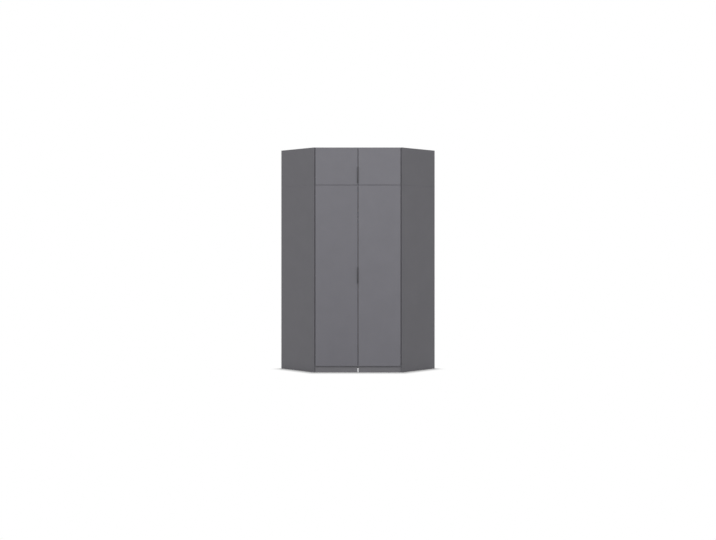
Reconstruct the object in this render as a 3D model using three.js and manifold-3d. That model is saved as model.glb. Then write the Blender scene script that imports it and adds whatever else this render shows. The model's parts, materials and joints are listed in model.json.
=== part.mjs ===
// Corner wardrobe with a diagonal front: a tall lower cabinet, a top box standing on it,
// four doors on concealed hinges, a hat shelf and two hanging rails.
// Millimetres, +Z up, the doors face -Y, the room corner is at the back on +Y.
// The origin is on the floor, in the middle of the bounding box.
import * as THREE from 'three';
import { mergeVertices } from 'three/addons/utils/BufferGeometryUtils.js';
import Module from 'manifold-3d';

const wasm = await Module();
wasm.setup();

// Driving dimensions of the carcase
const LEG = 1175; // length along each room wall
const SIDE_DEPTH = 525; // depth of each side panel, square to its wall
const LOWER_HEIGHT = 1965; // lower cabinet, plinth included
const UPPER_HEIGHT = 395; // top box
const BOARD = 16; // melamine faced chipboard
const HARDBOARD = 3; // back panels
const PLINTH_HEIGHT = 55;
const SEAT = 0.3; // clearance between pieces that sit on each other
const EDGE = 0.5; // softened arris of an edge banded board
const POST_LEG = 45; // legs of the three sided corner post
const HAT_SPACE = 265; // between the hat shelf and the lower cabinet's top board
const SHELF_SETBACK = 20; // hat shelf behind the carcase front

// Doors
const DOOR = 16; // door thickness
const DOOR_STANDOFF = 2; // between a door's back and the carcase
const DOOR_EDGE_GAP = 1.5; // between a door's outer edge and the inner arris of the side panel
const DOOR_GAP = 5; // between a left and a right door
const DOOR_SEAM = 3; // between a lower and an upper door
const FIRST_LEAF = 'left'; // opens first and carries the pull, the other leaf follows by its edge
const TOP_REVEAL = 2; // door below the top of the carcase
const DOOR_FLOOR_GAP = 67; // lower door above the floor
const DOOR_EDGE = 1; // arris of a door

// Plinth
const PLINTH_SETBACK = 4; // behind the carcase front
const PLINTH_JOINT = 12; // gap between the two plinth halves
const JOINT_STRIP_DEPTH = 8;
const FOOT_RADIUS = 24;
const FOOT_STEM_RADIUS = 9;
const FOOT_PAD = 8; // thickness of the foot's pad
const FOOT_FLANGE = 4;
const FOOT_BEHIND_FRONT = 420;

// Handles: a bent strip for each pair of doors, hooked round the first leaf's meeting edge
const HANDLE_LENGTH = 176;
const HANDLE_REACH = 24; // in front of the door
const HANDLE_HOOK = 6; // return of the lip, away from the gap
const HANDLE_SHEET = 1.2;
const HANDLE_PLATE = 28; // leg behind the door
const HANDLE_BEND = 3; // outer bend radius of the hook
const HANDLE_CORNER = 10; // rounded ends of the lip
const HANDLE_LIP_ROUND = 0.4; // eased edges of the lip
const LOWER_HANDLE_CENTRE = 1020; // above the floor
const UPPER_HANDLE_RISE = 18; // handle's lower end above the upper door's lower edge

// Concealed hinges
const CUP_RADIUS = 17.5;
const CUP_WALL = 1;
const CUP_DEPTH = 11.7; // cup's floor below the back of the door
const CUP_FROM_EDGE = 22; // cup's centre from the door's outer edge
const CUP_FLANGE_LENGTH = 62;
const CUP_FLANGE_WIDTH = 22;
const CUP_FLANGE = 1.2;
const CUP_FLANGE_ROUND = 10; // rounded ends of the flange
const LINK_RADIUS = 19; // inner face of the curved link, about the hinge axis
const LINK_SHEET = 2.2;
const TONGUE_SHEET = 2.4;
const SLIDE = 0.4; // between link and tongue
const LINK_WIDTH = 10;
const ARM_WIDTH = 16;
const ARM_LENGTH = 62;
const ARM_HEIGHT = 12; // off the side panel
const ARM_CHAMFER = 2;
const ARM_WALL = 1.4; // web and flanges of the pressed arm
const ARM_HOLE_RADIUS = 3.6; // for the adjusting screw, near the front
const ARM_HOLE_BACK = 24; // from the panel's front edge
const ARM_SLOT_RADIUS = 2.8; // for the clamping screw, near the end
const ARM_SLOT_BACK = 46;
const ARM_SLOT_LENGTH = 6; // between the centres of its round ends
const PLATE_LENGTH = 46;
const PLATE_WIDTH = 22;
const PLATE_ROUND = 3;
const PLATE_SHEET = 2.6;
const PLATE_START = 13; // from the panel's front edge
const WING_WIDTH = 17;
const WING_SPAN = 52; // over both wings
const WING_BACK = 37; // middle of the wings from the panel's front edge
const WING_ROUND = 8;
const RIB_HEIGHT = 9.4; // the plate's rib under the arm, off the side panel
const LOWER_HINGE_INSET = 110; // end hinges from the ends of a tall door
const UPPER_HINGE_INSET = 85;
const LINK_START = 18; // degrees round the hinge axis from the door's plane
const LINK_END = 84;
const TONGUE_START = 16;
const TONGUE_END = 100;

// Hanging rails
const RAIL_RADIUS = 12.5;
const RAIL_WALL = 1.2;
const RAIL_FROM_WALL = 262; // rail's centre line from its wall
const RAIL_BELOW_SHELF = 62; // centre line below the hat shelf
const RAIL_FLANGE_RADIUS = 24;
const RAIL_FLANGE = 4;
const RAIL_BLOCK = 44; // side of the corner block
const SPIGOT = 24; // length of a spigot inside the rail
const STEM_RADIUS = 8; // of the block's stem
const BLOCK_PLATE_RADIUS = 26;
const BLOCK_PLATE = 3;
const BLOCK_CHAMFER = 2;

// Numbers of facets
const ROUND = 24;
const ARC_STEPS = 10;
const ROUNDING_STEPS = 4;
const OVERRUN = 2; // how far a cutter passes a face
const MERGE_TOLERANCE = 1e-4; // vertices closer than this are one
const MERGE_GAP = 0.01; // flat left between two neighbouring roundings

// Derived plan sizes
const DIAGONAL = Math.SQRT2;
const BACK_INSET = HARDBOARD + SEAT; // boards stop here, behind them is the back panel
const INNER_LEG = LEG - BOARD; // inner face of a side panel, along the wall
const CARCASE_DEPTH = (INNER_LEG + SIDE_DEPTH) / DIAGONAL; // room corner to the boards' front
const FRONT_TO_CORNER = CARCASE_DEPTH + DOOR_STANDOFF + DOOR; // room corner to the door faces
const CORNER_Y = (FRONT_TO_CORNER + HANDLE_REACH) / 2;
const FRONT_Y = CORNER_Y - FRONT_TO_CORNER; // front face of the doors
const CARCASE_FRONT_Y = CORNER_Y - CARCASE_DEPTH;
const PANEL_INNER_X = (INNER_LEG - SIDE_DEPTH) / DIAGONAL; // inner front arris of a side panel
const DOOR_OUTER_X = PANEL_INNER_X - DOOR_EDGE_GAP;
const DOOR_INNER_X = DOOR_GAP / 2;
const TOTAL_HEIGHT = LOWER_HEIGHT + UPPER_HEIGHT;
const UPPER_BASE = LOWER_HEIGHT + SEAT;
const HAT_SHELF_HEIGHT = LOWER_HEIGHT - BOARD - HAT_SPACE - BOARD; // its underside above the floor

// Colours and finishes
const slate = () => new THREE.MeshStandardMaterial({ color: 0x6e6d74, roughness: 0.55 });
const steel = () => new THREE.MeshStandardMaterial({ color: 0xb9bcc0, roughness: 0.35, metalness: 1 });
const graphite = () => new THREE.MeshStandardMaterial({ color: 0x55555a, roughness: 0.4, metalness: 0.6 });
const hardboard = () => new THREE.MeshStandardMaterial({ color: 0x77767c, roughness: 0.85 });
const plastic = (color) => new THREE.MeshStandardMaterial({ color, roughness: 0.5 });

const wardrobe = new THREE.Group();
wardrobe.name = 'corner_wardrobe';

function place(name, geometry, material) {
  const mesh = new THREE.Mesh(geometry, material);
  mesh.name = name;
  wardrobe.add(mesh);
  return mesh;
}

// Solid of a closed geometry, for joining and cutting
function solid(geometry) {
  const bare = geometry.index ? geometry.toNonIndexed() : geometry.clone();
  bare.deleteAttribute('normal');
  bare.deleteAttribute('uv');
  const merged = mergeVertices(bare, MERGE_TOLERANCE);
  return new wasm.Manifold(new wasm.Mesh({
    numProp: 3,
    vertProperties: merged.attributes.position.array,
    triVerts: new Uint32Array(merged.index.array),
  }));
}

function geometryOf(body) {
  const mesh = body.getMesh();
  const geometry = new THREE.BufferGeometry();
  geometry.setAttribute('position', new THREE.BufferAttribute(mesh.vertProperties, mesh.numProp));
  geometry.setIndex(new THREE.BufferAttribute(mesh.triVerts, 1));
  geometry.computeVertexNormals();
  return geometry;
}

const joined = (...parts) => geometryOf(parts.map(solid).reduce((a, b) => a.add(b)));
const cut = (body, ...tools) => geometryOf(tools.map(solid).reduce((a, b) => a.subtract(b), solid(body)));

// Point of the plan, measured from the room corner: along a wall and off it. side is -1 left, 1 right.
function wallPoint(side, along, off) {
  return new THREE.Vector2(side * (along - off) / DIAGONAL, CORNER_Y - (along + off) / DIAGONAL);
}

// Point of the plan at a door's hinge: u inwards from the door's outer edge, v back from its face
const hingePoint = (side, u, v) => new THREE.Vector2(side * (DOOR_OUTER_X - u), FRONT_Y + v);

// Outline with every corner cut back by a small flat
function softened(points, arris) {
  if (!arris) return points;
  return points.flatMap((p, i) => {
    const before = points[(i + points.length - 1) % points.length];
    const after = points[(i + 1) % points.length];
    const towards = (q) => p.clone().addScaledVector(q.clone().sub(p).normalize(), arris);
    return [towards(before), towards(after)];
  });
}

// Upright prism on a plan outline between two heights, its end edges chamfered by the same arris
function prism(points, bottom, top, arris = 0) {
  const geometry = new THREE.ExtrudeGeometry(new THREE.Shape(softened(points, arris)), {
    depth: top - bottom - 2 * arris,
    bevelEnabled: arris > 0,
    bevelThickness: arris,
    bevelSize: arris,
    bevelOffset: -arris,
    bevelSegments: 1,
  });
  return geometry.translate(0, 0, bottom + arris);
}

// Outline with every corner rounded to its own radius by a circular arc
function rounded(points, radii) {
  return points.flatMap((p, i) => {
    if (!radii[i]) return [p];
    const a = points[(i + points.length - 1) % points.length].clone().sub(p).normalize();
    const b = points[(i + 1) % points.length].clone().sub(p).normalize();
    const half = Math.acos(THREE.MathUtils.clamp(a.dot(b), -1, 1)) / 2;
    const centre = p.clone().addScaledVector(a.clone().add(b).normalize(), radii[i] / Math.sin(half));
    const start = p.clone().addScaledVector(a, radii[i] / Math.tan(half)).sub(centre);
    const turn = -Math.sign(a.cross(b)) * (Math.PI - 2 * half);
    return Array.from({ length: ROUNDING_STEPS + 1 }, (_, k) =>
      start.clone().rotateAround(new THREE.Vector2(), turn * k / ROUNDING_STEPS).add(centre));
  });
}

// Sector of a ring about the hinge axis, as plan points
function ringSector(side, inner, outer, startDegrees, endDegrees) {
  const ray = (radius, k) => {
    const angle = THREE.MathUtils.degToRad(startDegrees + (endDegrees - startDegrees) * k / ARC_STEPS);
    return hingePoint(side, radius * Math.cos(angle), radius * Math.sin(angle));
  };
  const steps = Array.from({ length: ARC_STEPS + 1 }, (_, k) => k);
  return [...steps.map((k) => ray(inner, k)), ...steps.reverse().map((k) => ray(outer, k))];
}

// Level board: six sided, its back corner cut off at the corner post, its front set back
function level(name, bottom, setback = 0) {
  const half = (side) => [
    wallPoint(side, BACK_INSET + POST_LEG + SEAT * DIAGONAL, BACK_INSET),
    wallPoint(side, INNER_LEG - SEAT, BACK_INSET),
    wallPoint(side, INNER_LEG - SEAT, SIDE_DEPTH + SEAT - setback * DIAGONAL),
  ];
  place(name, prism([...half(1), ...half(-1).reverse()], bottom, bottom + BOARD, EDGE), slate());
}

function sidePanel(name, side, bottom, top) {
  const outline = [
    wallPoint(side, INNER_LEG, 0),
    wallPoint(side, LEG, 0),
    wallPoint(side, LEG, SIDE_DEPTH),
    wallPoint(side, INNER_LEG, SIDE_DEPTH),
  ];
  place(name, prism(outline, bottom, top, EDGE), slate());
}

function backPanel(name, side, bottom, top) {
  const mitre = SEAT / DIAGONAL;
  const outline = [
    wallPoint(side, mitre, 0),
    wallPoint(side, INNER_LEG - SEAT, 0),
    wallPoint(side, INNER_LEG - SEAT, HARDBOARD),
    wallPoint(side, mitre + HARDBOARD, HARDBOARD),
  ];
  place(name, prism(outline, bottom, top), hardboard());
}

function cornerPost(name, bottom, top) {
  const outline = [
    wallPoint(1, BACK_INSET, BACK_INSET),
    wallPoint(-1, BACK_INSET + POST_LEG, BACK_INSET),
    wallPoint(1, BACK_INSET + POST_LEG, BACK_INSET),
  ];
  place(name, prism(outline, bottom, top), plastic(0x8a7a66));
}

const SIDES = [['left', -1], ['right', 1]];

function carcase(unit, bottom, boardsBottom, top) {
  for (const [word, side] of SIDES) {
    sidePanel(`${unit}_side_${word}`, side, bottom, top);
    backPanel(`${unit}_back_${word}`, side, boardsBottom, top);
  }
  cornerPost(`${unit}_corner_post`, bottom, top);
  level(`${unit}_bottom_board`, boardsBottom);
  level(`${unit}_top_board`, top - BOARD);
}

carcase('lower', 0, PLINTH_HEIGHT + SEAT, LOWER_HEIGHT);
carcase('upper', UPPER_BASE, UPPER_BASE, TOTAL_HEIGHT);
level('hat_shelf', HAT_SHELF_HEIGHT, SHELF_SETBACK);

// Plinth: two halves that meet at a plastic joint strip, and a foot under the middle of the floor
const plinthFront = CARCASE_FRONT_Y + PLINTH_SETBACK;
const plinthBack = plinthFront + BOARD;
for (const [word, side] of SIDES) {
  const along = INNER_LEG - SEAT; // the outer end follows the slanted side panel
  const offAt = (y) => (CORNER_Y - y) * DIAGONAL - along;
  const outline = [
    new THREE.Vector2(side * PLINTH_JOINT / 2, plinthFront),
    wallPoint(side, along, offAt(plinthFront)),
    wallPoint(side, along, offAt(plinthBack)),
    new THREE.Vector2(side * PLINTH_JOINT / 2, plinthBack),
  ];
  place(`plinth_${word}`, prism(outline, 0, PLINTH_HEIGHT), slate());
}

const stripHalf = PLINTH_JOINT / 2 - SEAT;
const stripOutline = [
  [-stripHalf, 0], [stripHalf, 0],
  [stripHalf, JOINT_STRIP_DEPTH], [-stripHalf, JOINT_STRIP_DEPTH],
].map(([x, back]) => new THREE.Vector2(x, plinthFront + SEAT + back));
place('plinth_joint_strip', prism(stripOutline, 0, PLINTH_HEIGHT), plastic(0xf2f2f0));

const footProfile = [
  [0, 0], [FOOT_RADIUS, 0], [FOOT_RADIUS, FOOT_PAD], [FOOT_STEM_RADIUS, FOOT_PAD + FOOT_FLANGE],
  [FOOT_STEM_RADIUS, PLINTH_HEIGHT - FOOT_FLANGE], [FOOT_RADIUS, PLINTH_HEIGHT - FOOT_FLANGE],
  [FOOT_RADIUS, PLINTH_HEIGHT], [0, PLINTH_HEIGHT],
].map(([r, z]) => new THREE.Vector2(r, z));
const foot = place('centre_foot', new THREE.LatheGeometry(footProfile, ROUND), plastic(0x26262a));
foot.rotation.x = Math.PI / 2;
foot.position.y = CARCASE_FRONT_Y + FOOT_BEHIND_FRONT;

// Doors with their handles and hinges
const doors = [
  { unit: 'lower', bottom: DOOR_FLOOR_GAP, top: LOWER_HEIGHT - DOOR_SEAM / 2 },
  { unit: 'upper', bottom: LOWER_HEIGHT + DOOR_SEAM / 2, top: TOTAL_HEIGHT - TOP_REVEAL },
];
for (const door of doors) {
  const inset = door.unit === 'lower' ? LOWER_HINGE_INSET : UPPER_HINGE_INSET;
  const middle = (door.bottom + door.top) / 2;
  const ends = [door.bottom + inset, door.top - inset];
  door.hinges = door.unit === 'lower' ? [ends[0], middle, ends[1]] : ends;
  const centre = door.unit === 'lower' ? LOWER_HANDLE_CENTRE
    : door.bottom + UPPER_HANDLE_RISE + HANDLE_LENGTH / 2;
  door.handle = [centre - HANDLE_LENGTH / 2, centre + HANDLE_LENGTH / 2];
}

// A disc or hole whose axis is square to the door, at a height and a distance v behind its face
function boreTool(side, height, radius, start, end) {
  const centre = hingePoint(side, CUP_FROM_EDGE, (start + end) / 2);
  return new THREE.CylinderGeometry(radius, radius, end - start, ROUND).translate(centre.x, centre.y, height);
}

function doorPanel(name, side, door) {
  const outline = [
    new THREE.Vector2(side * DOOR_INNER_X, FRONT_Y),
    new THREE.Vector2(side * DOOR_OUTER_X, FRONT_Y),
    new THREE.Vector2(side * DOOR_OUTER_X, FRONT_Y + DOOR),
    new THREE.Vector2(side * DOOR_INNER_X, FRONT_Y + DOOR),
  ];
  const bores = door.hinges.map((height) =>
    boreTool(side, height, CUP_RADIUS + SEAT, DOOR - CUP_DEPTH - SEAT, DOOR + OVERRUN));
  place(name, cut(prism(outline, door.bottom, door.top, DOOR_EDGE), ...bores), slate());
}

// Bent strip: a leg behind the door, a web in the gap and a hooked lip in front
function handle(name, side, [bottom, top]) {
  const point = (u, v) => new THREE.Vector2(side * (DOOR_INNER_X + u), FRONT_Y + v);
  const inner = -SEAT;
  const outer = inner - HANDLE_SHEET;
  const behind = DOOR + SEAT;
  const tip = HANDLE_HOOK - HANDLE_SHEET;
  const outline = [
    point(outer, -HANDLE_REACH), point(tip, -HANDLE_REACH), point(tip, HANDLE_SHEET - HANDLE_REACH),
    point(inner, HANDLE_SHEET - HANDLE_REACH), point(inner, behind), point(HANDLE_PLATE, behind),
    point(HANDLE_PLATE, behind + HANDLE_SHEET), point(outer, behind + HANDLE_SHEET),
  ];
  const innerBend = HANDLE_BEND - HANDLE_SHEET;
  const radii = [HANDLE_BEND, HANDLE_LIP_ROUND, HANDLE_LIP_ROUND, innerBend, 0, 0, 0, 0];
  const strip = prism(rounded(outline, radii), bottom, top);
  // The lip's two ends are rounded where it stands in front of the door
  const corner = (end, away) => {
    const bite = Array.from({ length: ARC_STEPS + 1 }, (_, k) => {
      const angle = (Math.PI / 2) * k / ARC_STEPS;
      return new THREE.Vector2(1 - Math.sin(angle), 1 - Math.cos(angle)).multiplyScalar(HANDLE_CORNER);
    });
    const shape = new THREE.Shape([
      new THREE.Vector2(-OVERRUN, -OVERRUN), new THREE.Vector2(HANDLE_CORNER, -OVERRUN),
      ...bite, new THREE.Vector2(-OVERRUN, HANDLE_CORNER),
    ]);
    const width = HANDLE_HOOK + 2 * OVERRUN;
    const tool = new THREE.ExtrudeGeometry(shape, { depth: width, bevelEnabled: false });
    const turned = new THREE.Matrix4().makeBasis(
      new THREE.Vector3(0, 1, 0), new THREE.Vector3(0, 0, away), new THREE.Vector3(away, 0, 0));
    tool.applyMatrix4(turned);
    const nearX = side * (DOOR_INNER_X + tip / 2) - away * width / 2;
    return tool.translate(nearX, FRONT_Y - HANDLE_REACH, end);
  };
  place(name, cut(strip, corner(bottom, 1), corner(top, -1)), graphite());
}

// Cup pressed into the door, with a flange on the door's back
function hingeCup(name, side, height) {
  const floor = DOOR - CUP_DEPTH;
  const rim = DOOR + SEAT + CUP_FLANGE;
  const inner = CUP_RADIUS - CUP_WALL;
  const profile = [
    [0, floor], [CUP_RADIUS, floor], [CUP_RADIUS, rim],
    [inner, rim], [inner, floor + CUP_WALL], [0, floor + CUP_WALL],
  ].map(([r, v]) => new THREE.Vector2(r, v));
  const centre = hingePoint(side, CUP_FROM_EDGE, 0);
  const bowl = new THREE.LatheGeometry(profile, ROUND).translate(centre.x, centre.y, height);
  const shape = new THREE.Shape(rounded([
    new THREE.Vector2(-CUP_FLANGE_WIDTH / 2, -CUP_FLANGE_LENGTH / 2),
    new THREE.Vector2(CUP_FLANGE_WIDTH / 2, -CUP_FLANGE_LENGTH / 2),
    new THREE.Vector2(CUP_FLANGE_WIDTH / 2, CUP_FLANGE_LENGTH / 2),
    new THREE.Vector2(-CUP_FLANGE_WIDTH / 2, CUP_FLANGE_LENGTH / 2),
  ], Array(4).fill(CUP_FLANGE_ROUND)));
  const flange = new THREE.ExtrudeGeometry(shape, { depth: CUP_FLANGE, bevelEnabled: false })
    .rotateX(Math.PI / 2).translate(centre.x, FRONT_Y + rim, height);
  const mouth = boreTool(side, height, inner, DOOR - OVERRUN, rim + OVERRUN);
  place(name, joined(bowl, cut(flange, mouth)), steel());
}

// Solid on the inner face of a side panel: its outline runs back from the panel's front edge and
// up and down about the hinge's height, and it is as thick as from one distance off the panel to another
function onPanel(side, height, outline, start, end) {
  const back = new THREE.Vector3(side, 1, 0).normalize();
  const off = new THREE.Vector3(-side, 1, 0).normalize();
  const up = new THREE.Vector3(0, 0, -side);
  const foot = new THREE.Vector3(side * PANEL_INNER_X, CARCASE_FRONT_Y, height).addScaledVector(off, start);
  const depth = end - start;
  return new THREE.ExtrudeGeometry(new THREE.Shape(outline), { depth, bevelEnabled: false })
    .applyMatrix4(new THREE.Matrix4().makeBasis(back, up, off).setPosition(foot));
}

// Rectangle with rounded corners, from start to end along and over a span across
function tablet(start, end, span, radius) {
  const corners = [[start, -span / 2], [end, -span / 2], [end, span / 2], [start, span / 2]];
  return rounded(corners.map(([x, y]) => new THREE.Vector2(x, y)), corners.map(() => radius));
}

// Pressed arm on its winged mounting plate, fixed to the side panel, with a curved tongue that enters the cup
function hingeArm(name, side, height) {
  // p runs back along the panel's inner face from its front edge, q stands off that face
  const panelPoint = (p, q) => hingePoint(
    side, (q - p) / DIAGONAL - DOOR_EDGE_GAP, (q + p) / DIAGONAL + DOOR + DOOR_STANDOFF);
  const tongueInner = LINK_RADIUS + LINK_SHEET + SLIDE;
  const tongue = prism(
    ringSector(side, tongueInner, tongueInner + TONGUE_SHEET, TONGUE_START, TONGUE_END),
    height - LINK_WIDTH / 2, height + LINK_WIDTH / 2);
  const plateTop = SEAT + PLATE_SHEET;
  const foot = SEAT + PLATE_SHEET / 2; // the arm's flanges end inside the plate
  const bar = prism([
    panelPoint(foot, foot), panelPoint(ARM_LENGTH, foot), panelPoint(ARM_LENGTH, ARM_HEIGHT - ARM_CHAMFER),
    panelPoint(ARM_LENGTH - ARM_CHAMFER, ARM_HEIGHT), panelPoint(ARM_HEIGHT, ARM_HEIGHT),
    panelPoint(foot, ARM_HEIGHT / 2),
  ], height - ARM_WIDTH / 2, height + ARM_WIDTH / 2);
  const inside = ARM_WIDTH / 2 - ARM_WALL;
  const hollow = prism([
    panelPoint(ARM_HEIGHT, plateTop), panelPoint(ARM_LENGTH + OVERRUN, plateTop),
    panelPoint(ARM_LENGTH + OVERRUN, ARM_HEIGHT - ARM_WALL), panelPoint(ARM_HEIGHT, ARM_HEIGHT - ARM_WALL),
  ], height - inside, height + inside);
  const hole = tablet(ARM_HOLE_BACK - ARM_HOLE_RADIUS, ARM_HOLE_BACK + ARM_HOLE_RADIUS,
    2 * ARM_HOLE_RADIUS, ARM_HOLE_RADIUS - MERGE_GAP);
  const slot = tablet(ARM_SLOT_BACK - ARM_SLOT_RADIUS, ARM_SLOT_BACK + ARM_SLOT_LENGTH + ARM_SLOT_RADIUS,
    2 * ARM_SLOT_RADIUS, ARM_SLOT_RADIUS - MERGE_GAP);
  const holes = [hole, slot].map((outline) =>
    onPanel(side, height, outline, ARM_HEIGHT - ARM_WALL - SEAT, ARM_HEIGHT + OVERRUN));
  const plateEnd = PLATE_START + PLATE_LENGTH;
  const base = onPanel(side, height, tablet(PLATE_START, plateEnd, PLATE_WIDTH, PLATE_ROUND), SEAT, plateTop);
  const wings = onPanel(side, height,
    tablet(WING_BACK - WING_WIDTH / 2, WING_BACK + WING_WIDTH / 2, WING_SPAN, WING_ROUND), SEAT, plateTop);
  const rib = onPanel(side, height,
    tablet(ARM_HEIGHT + SEAT, plateEnd, 2 * (inside - SEAT), 0), foot, RIB_HEIGHT);
  place(name, joined(cut(bar, hollow, ...holes), tongue, base, wings, rib), steel());
}

function hingeLink(name, side, height) {
  const outline = ringSector(side, LINK_RADIUS, LINK_RADIUS + LINK_SHEET, LINK_START, LINK_END);
  place(name, prism(outline, height - LINK_WIDTH / 2, height + LINK_WIDTH / 2), steel());
}

for (const door of doors) {
  for (const [word, side] of SIDES) {
    const stem = `${door.unit}_${word}`;
    doorPanel(`${stem}_door`, side, door);
    if (word === FIRST_LEAF) handle(`${stem}_handle`, side, door.handle);
    door.hinges.forEach((height, i) => {
      hingeCup(`${stem}_hinge_cup_${i + 1}`, side, height);
      hingeArm(`${stem}_hinge_arm_${i + 1}`, side, height);
      hingeLink(`${stem}_hinge_link_${i + 1}`, side, height);
    });
  }
}

// Hanging rails, one along each wall, held by the side panel and by a block under the hat shelf
const railHeight = HAT_SHELF_HEIGHT - RAIL_BELOW_SHELF;
const blockFace = RAIL_FROM_WALL + RAIL_BLOCK / 2;
const railStart = blockFace + SEAT;
const railEnd = INNER_LEG - SEAT;
const wallTurn = (side) => (side > 0 ? -Math.PI / 4 : -3 * Math.PI / 4);

// Geometry about the Y axis laid along a wall, from a distance out of the room corner
function alongWall(geometry, side, start) {
  const foot = wallPoint(side, start, RAIL_FROM_WALL);
  return geometry.rotateZ(-Math.PI / 2).rotateZ(wallTurn(side)).translate(foot.x, foot.y, railHeight);
}

for (const [word, side] of SIDES) {
  const length = railEnd - railStart;
  const bore = RAIL_RADIUS - RAIL_WALL;
  const profile = [
    [bore, 0], [RAIL_RADIUS, 0], [RAIL_RADIUS, length - RAIL_FLANGE],
    [RAIL_FLANGE_RADIUS, length - RAIL_FLANGE], [RAIL_FLANGE_RADIUS, length],
    [bore, length], [bore, 0],
  ].map(([r, y]) => new THREE.Vector2(r, y));
  place(`hanging_rail_${word}`, alongWall(new THREE.LatheGeometry(profile, ROUND), side, railStart), steel());
}

const blockHalf = RAIL_BLOCK / 2;
const blockOutline = [
  [-blockHalf, -blockHalf], [blockHalf, -blockHalf],
  [blockHalf, blockHalf], [-blockHalf, blockHalf],
].map(([along, off]) => wallPoint(1, RAIL_FROM_WALL + along, RAIL_FROM_WALL + off));
const block = prism(blockOutline, railHeight - blockHalf, railHeight + blockHalf, BLOCK_CHAMFER);
const spigotRadius = RAIL_RADIUS - RAIL_WALL - SEAT;
const spigots = SIDES.map(([, side]) => {
  const spigot = new THREE.CylinderGeometry(spigotRadius, spigotRadius, SPIGOT + blockHalf, ROUND);
  return alongWall(spigot.translate(0, (SPIGOT - blockHalf) / 2, 0), side, blockFace);
});
const stemTop = HAT_SHELF_HEIGHT - SEAT;
const stemProfile = [
  [0, railHeight], [STEM_RADIUS, railHeight], [STEM_RADIUS, stemTop - BLOCK_PLATE],
  [BLOCK_PLATE_RADIUS, stemTop - BLOCK_PLATE], [BLOCK_PLATE_RADIUS, stemTop], [0, stemTop],
].map(([r, z]) => new THREE.Vector2(r, z));
const blockCentre = wallPoint(1, RAIL_FROM_WALL, RAIL_FROM_WALL);
const stem = new THREE.LatheGeometry(stemProfile, ROUND).rotateX(Math.PI / 2)
  .translate(blockCentre.x, blockCentre.y, 0);
place('rail_corner_block', joined(block, ...spigots, stem), steel());

export default wardrobe;
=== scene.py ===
"""Five-sided corner wardrobe with a top box, dressed for a plain white studio.

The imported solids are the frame. This script gives each of them its finish. It models the pulls,
hinge cups, curved hinge links, rails, rail block, joint profile and foot as smooth surfaces, each
in place of its solid, and adds the small fittings: screws, cam housings, nails and door buffers.
Metres throughout.
"""
import json
import math

import bmesh
import bpy
import numpy as np
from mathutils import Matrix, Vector


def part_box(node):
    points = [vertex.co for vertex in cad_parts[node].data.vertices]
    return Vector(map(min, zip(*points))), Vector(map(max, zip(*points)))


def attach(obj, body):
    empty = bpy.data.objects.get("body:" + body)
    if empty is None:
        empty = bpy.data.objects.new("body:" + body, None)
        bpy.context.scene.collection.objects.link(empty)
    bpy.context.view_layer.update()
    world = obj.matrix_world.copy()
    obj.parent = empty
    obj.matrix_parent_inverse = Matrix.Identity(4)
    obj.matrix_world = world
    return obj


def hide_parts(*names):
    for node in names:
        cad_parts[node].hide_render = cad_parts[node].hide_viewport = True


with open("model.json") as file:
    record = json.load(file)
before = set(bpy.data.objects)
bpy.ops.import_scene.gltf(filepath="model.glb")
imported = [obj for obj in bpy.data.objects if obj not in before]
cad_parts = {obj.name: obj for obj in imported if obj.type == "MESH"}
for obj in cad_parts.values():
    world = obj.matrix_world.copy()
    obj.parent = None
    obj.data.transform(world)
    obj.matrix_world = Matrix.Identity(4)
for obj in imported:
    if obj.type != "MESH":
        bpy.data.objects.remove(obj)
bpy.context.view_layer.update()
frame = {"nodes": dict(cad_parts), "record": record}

MM = 0.001
DIAGONAL = math.sqrt(2)
FULL_TURN = 2 * math.pi
QUARTER_TURN = math.pi / 2
UP = (0.0, 0.0, 1.0)
DOWN = (0.0, 0.0, -1.0)
INTO_CABINET = (0.0, 1.0, 0.0)  # square out of a door's back
SIDES = (("left", -1), ("right", 1))
UNITS = (("lower", 3), ("upper", 2))  # with the number of hinges on each door
PULL_LEAF = "left"  # the leaf of each pair that carries the pull

# Sizes shared with the solids
SIDE_DEPTH = 525 * MM
INNER_LEG = 1159 * MM
BOARD = 16 * MM
SEAT = 0.3 * MM
DOOR_EDGE_GAP = 1.5 * MM
HANDLE_SHEET = 1.2 * MM
HANDLE_LIP = 6.3 * MM  # width of the lip as seen from the front
HANDLE_BEND = 3 * MM
HANDLE_CORNER = 10 * MM
CUP_RADIUS = 17.5 * MM
CUP_WALL = 1 * MM
CUP_FLANGE = 1.2 * MM
CUP_FLANGE_WIDTH = 22 * MM
CUP_FLANGE_LENGTH = 62 * MM
CUP_FLANGE_ROUND = 10 * MM
LINK_RADIUS = 19 * MM  # inner face of a hinge's curved link, about the door's axis
LINK_SHEET = 2.2 * MM
LINK_ENDS = (18, 84)  # degrees about the axis, from the door's plane
PLATE_TOP = 2.9 * MM  # of a hinge's mounting plate, off the side panel
WING_BACK = 37 * MM  # middle of the plate's wings, from the side panel's front edge
RIB_TOP = 9.4 * MM  # of the plate's rib under the arm
ARM_SCREWS_BACK = (24 * MM, 49 * MM)
RAIL_RADIUS = 12.5 * MM
RAIL_WALL = 1.2 * MM
RAIL_FROM_WALL = 262 * MM
RAIL_FLANGE_RADIUS = 24 * MM
RAIL_FLANGE = 4 * MM
RAIL_BLOCK = 44 * MM
SPIGOT = 24 * MM
STEM_RADIUS = 8 * MM
BLOCK_PLATE_RADIUS = 26 * MM
BLOCK_PLATE = 3 * MM
FOOT_RADIUS = 24 * MM
FOOT_STEM_RADIUS = 9 * MM
FOOT_PAD = 8 * MM

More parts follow.
